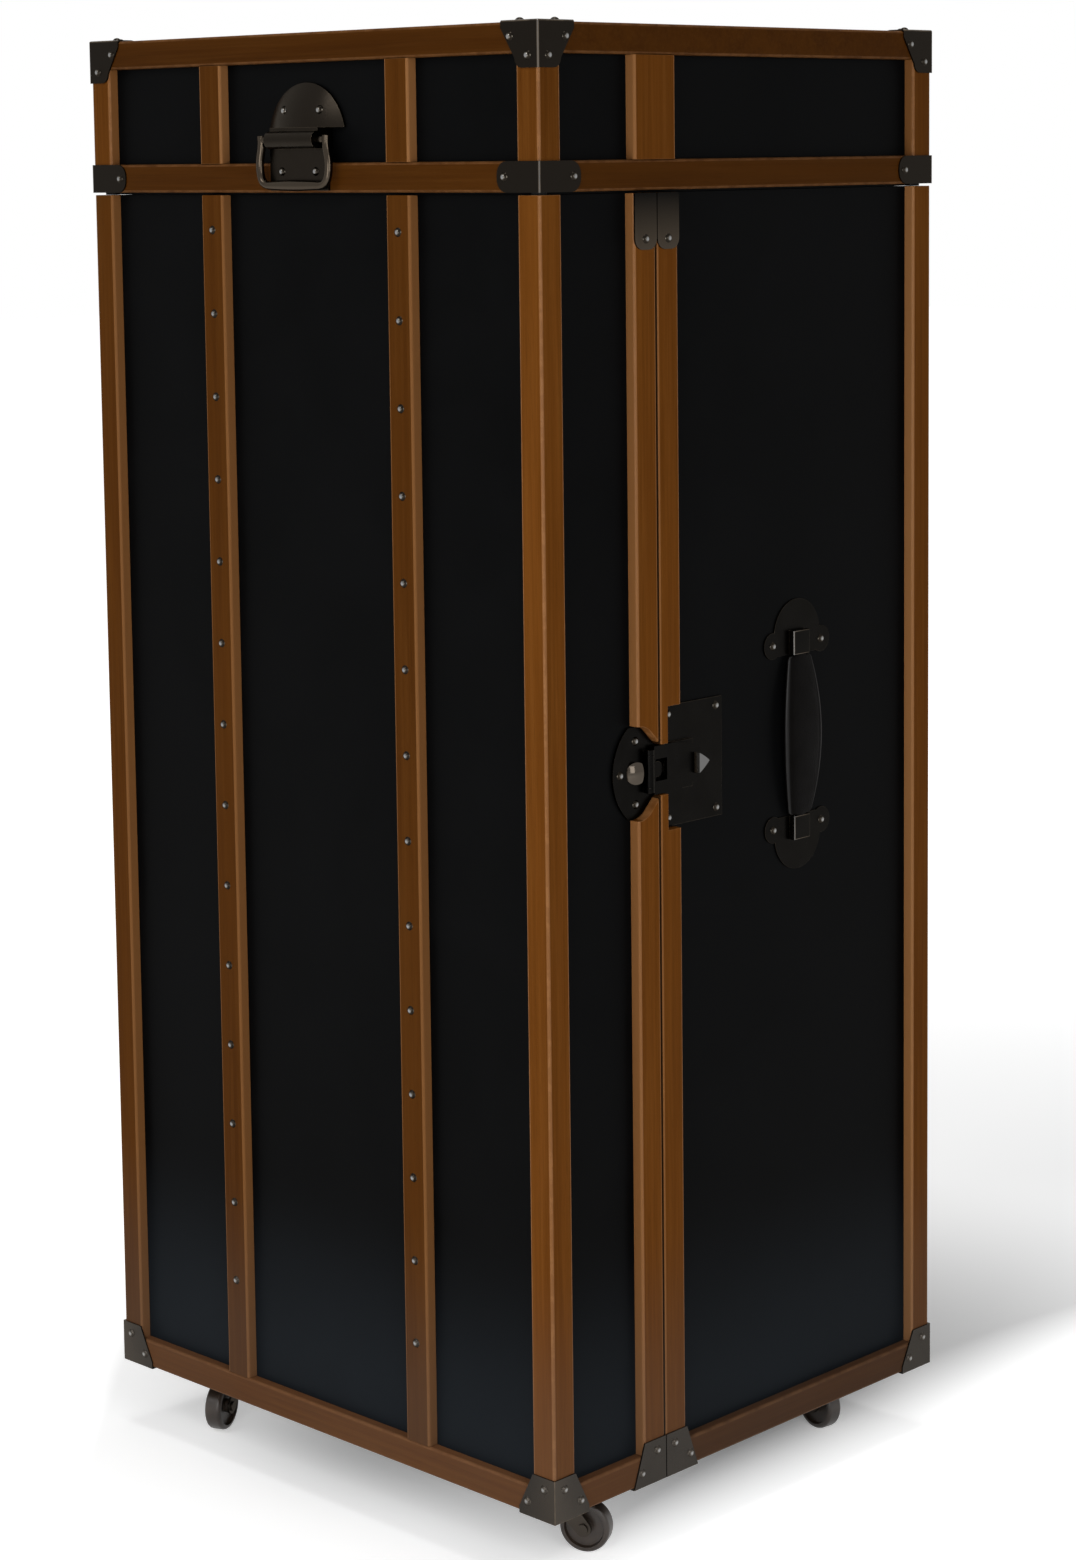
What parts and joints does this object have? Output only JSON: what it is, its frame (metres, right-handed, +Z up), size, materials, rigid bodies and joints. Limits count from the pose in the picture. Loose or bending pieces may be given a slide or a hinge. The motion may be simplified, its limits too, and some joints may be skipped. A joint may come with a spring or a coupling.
{
  "type": "steamer trunk",
  "caption": "Upright steamer trunk on swivel castors: slatted cabinet with a side-hinged front leaf, back-hinged lid, drop bail, hasp lock and leather side grips.",
  "frame": {"origin": "on the floor under the middle of the trunk", "axes": "+Z up, -Y out of the front face, +X to the side with the hasp lock"},
  "size_m": [0.6481, 0.5967, 1.4541],
  "materials": {
    "strip_wood": "satin",
    "black_board": "satin",
    "inner_wood": "satin",
    "dark_metal": "satin",
    "castor_metal": "satin",
    "nail_metal": "satin",
    "rail_steel": "satin",
    "grip_leather": "satin",
    "castor_tread": "satin",
    "buffer_rubber": "matte"
  },
  "bodies": {
    "cabinet": {"cabinet_bottom_board": "black_board", "cabinet_top_board": "black_board", "cabinet_back_board": "black_board", "cabinet_side_boards": "black_board", "cabinet_corner_posts": "strip_wood", "cabinet_bottom_rails": "strip_wood", "cabinet_back_slats": "strip_wood", "cabinet_seam_battens": "strip_wood", "cabinet_brackets": "dark_metal", "cabinet_nails": "nail_metal", "lock_plate": "dark_metal", "handle_end_plates": "dark_metal", "right_handle_grip": "grip_leather", "left_handle_grip": "grip_leather", "cabinet_hinge_plates": "dark_metal", "lid_stop_hinge_plates": "dark_metal", "hinge_pins": "nail_metal", "clothes_rail": "rail_steel", "rail_sockets": "dark_metal", "shoe_shelf": "inner_wood", "shelf_cleats": "inner_wood", "rear_castor_plates": "castor_metal"},
    "leaf": {"leaf_front_board": "black_board", "leaf_bottom_board": "black_board", "leaf_top_board": "black_board", "leaf_side_boards": "black_board", "leaf_corner_posts": "strip_wood", "leaf_bottom_rails": "strip_wood", "leaf_front_slats": "strip_wood", "leaf_seam_battens": "strip_wood", "leaf_brackets": "dark_metal", "leaf_nails": "nail_metal", "leaf_hinge_plates": "dark_metal", "leaf_shelves": "inner_wood", "leaf_shelf_fences": "inner_wood", "hasp_plate": "dark_metal", "hasp_pin": "nail_metal", "front_castor_plates": "castor_metal"},
    "lid": {"lid_top_board": "black_board", "lid_end_boards": "black_board", "lid_side_boards": "black_board", "lid_corner_posts": "strip_wood", "lid_top_rails": "strip_wood", "lid_base_rails": "strip_wood", "lid_slats": "strip_wood", "lid_brackets": "dark_metal", "lid_nails": "nail_metal", "lid_hinge_plates": "dark_metal", "lid_handle_plate": "dark_metal", "lid_buffers": "buffer_rubber"},
    "bail": {"bail_handle": "dark_metal"},
    "hasp": {"hasp": "dark_metal"},
    "front_right_swivel": {"front_right_fork": "castor_metal"},
    "front_left_swivel": {"front_left_fork": "castor_metal"},
    "rear_right_swivel": {"rear_right_fork": "castor_metal"},
    "rear_left_swivel": {"rear_left_fork": "castor_metal"},
    "front_right_wheel": {"front_right_wheel": "castor_tread"},
    "front_left_wheel": {"front_left_wheel": "castor_tread"},
    "rear_right_wheel": {"rear_right_wheel": "castor_tread"},
    "rear_left_wheel": {"rear_left_wheel": "castor_tread"}
  },
  "joints": [
    {"name": "leaf_hinge", "type": "hinge", "parent": "cabinet", "child": "leaf", "pos_m": [-0.322, -0.129, 0.6833], "axis": [0, 0, -1], "range_deg": [0, 180]},
    {"name": "lid_hinge", "type": "hinge", "parent": "cabinet", "child": "lid", "pos_m": [0, 0.288, 1.2978], "axis": [-1, 0, 0], "range_deg": [0, 100]},
    {"name": "bail_pivot", "type": "hinge", "parent": "lid", "child": "bail", "pos_m": [0, -0.291, 1.349], "axis": [-1, 0, 0], "range_deg": [0, 150]},
    {"name": "hasp_pivot", "type": "hinge", "parent": "leaf", "child": "hasp", "pos_m": [0.312, -0.139, 0.758], "axis": [0, 0, -1], "range_deg": [0, 110]},
    {"name": "front_right_castor_swivel", "type": "hinge", "parent": "leaf", "child": "front_right_swivel", "pos_m": [0.2395, -0.1995, 0.055], "axis": [0, 0, 1], "continuous": true},
    {"name": "front_right_wheel_spin", "type": "hinge", "parent": "front_right_swivel", "child": "front_right_wheel", "pos_m": [0.26556, -0.18679, 0.025], "axis": [-0.4384, 0.8988, 0], "continuous": true},
    {"name": "front_left_castor_swivel", "type": "hinge", "parent": "leaf", "child": "front_left_swivel", "pos_m": [-0.2395, -0.1995, 0.055], "axis": [0, 0, 1], "continuous": true},
    {"name": "front_left_wheel_spin", "type": "hinge", "parent": "front_left_swivel", "child": "front_left_wheel", "pos_m": [-0.2277, -0.22599, 0.025], "axis": [0.9135, 0.4067, 0], "continuous": true},
    {"name": "rear_right_castor_swivel", "type": "hinge", "parent": "cabinet", "child": "rear_right_swivel", "pos_m": [0.262, 0.1995, 0.055], "axis": [0, 0, 1], "continuous": true},
    {"name": "rear_right_wheel_spin", "type": "hinge", "parent": "rear_right_swivel", "child": "rear_right_wheel", "pos_m": [0.23328, 0.20354, 0.025], "axis": [-0.1392, -0.9903, 0], "continuous": true},
    {"name": "rear_left_castor_swivel", "type": "hinge", "parent": "cabinet", "child": "rear_left_swivel", "pos_m": [-0.262, 0.1995, 0.055], "axis": [0, 0, 1], "continuous": true},
    {"name": "rear_left_wheel_spin", "type": "hinge", "parent": "rear_left_swivel", "child": "rear_left_wheel", "pos_m": [-0.23978, 0.21814, 0.025], "axis": [-0.6428, 0.766, 0], "continuous": true}
  ]
}
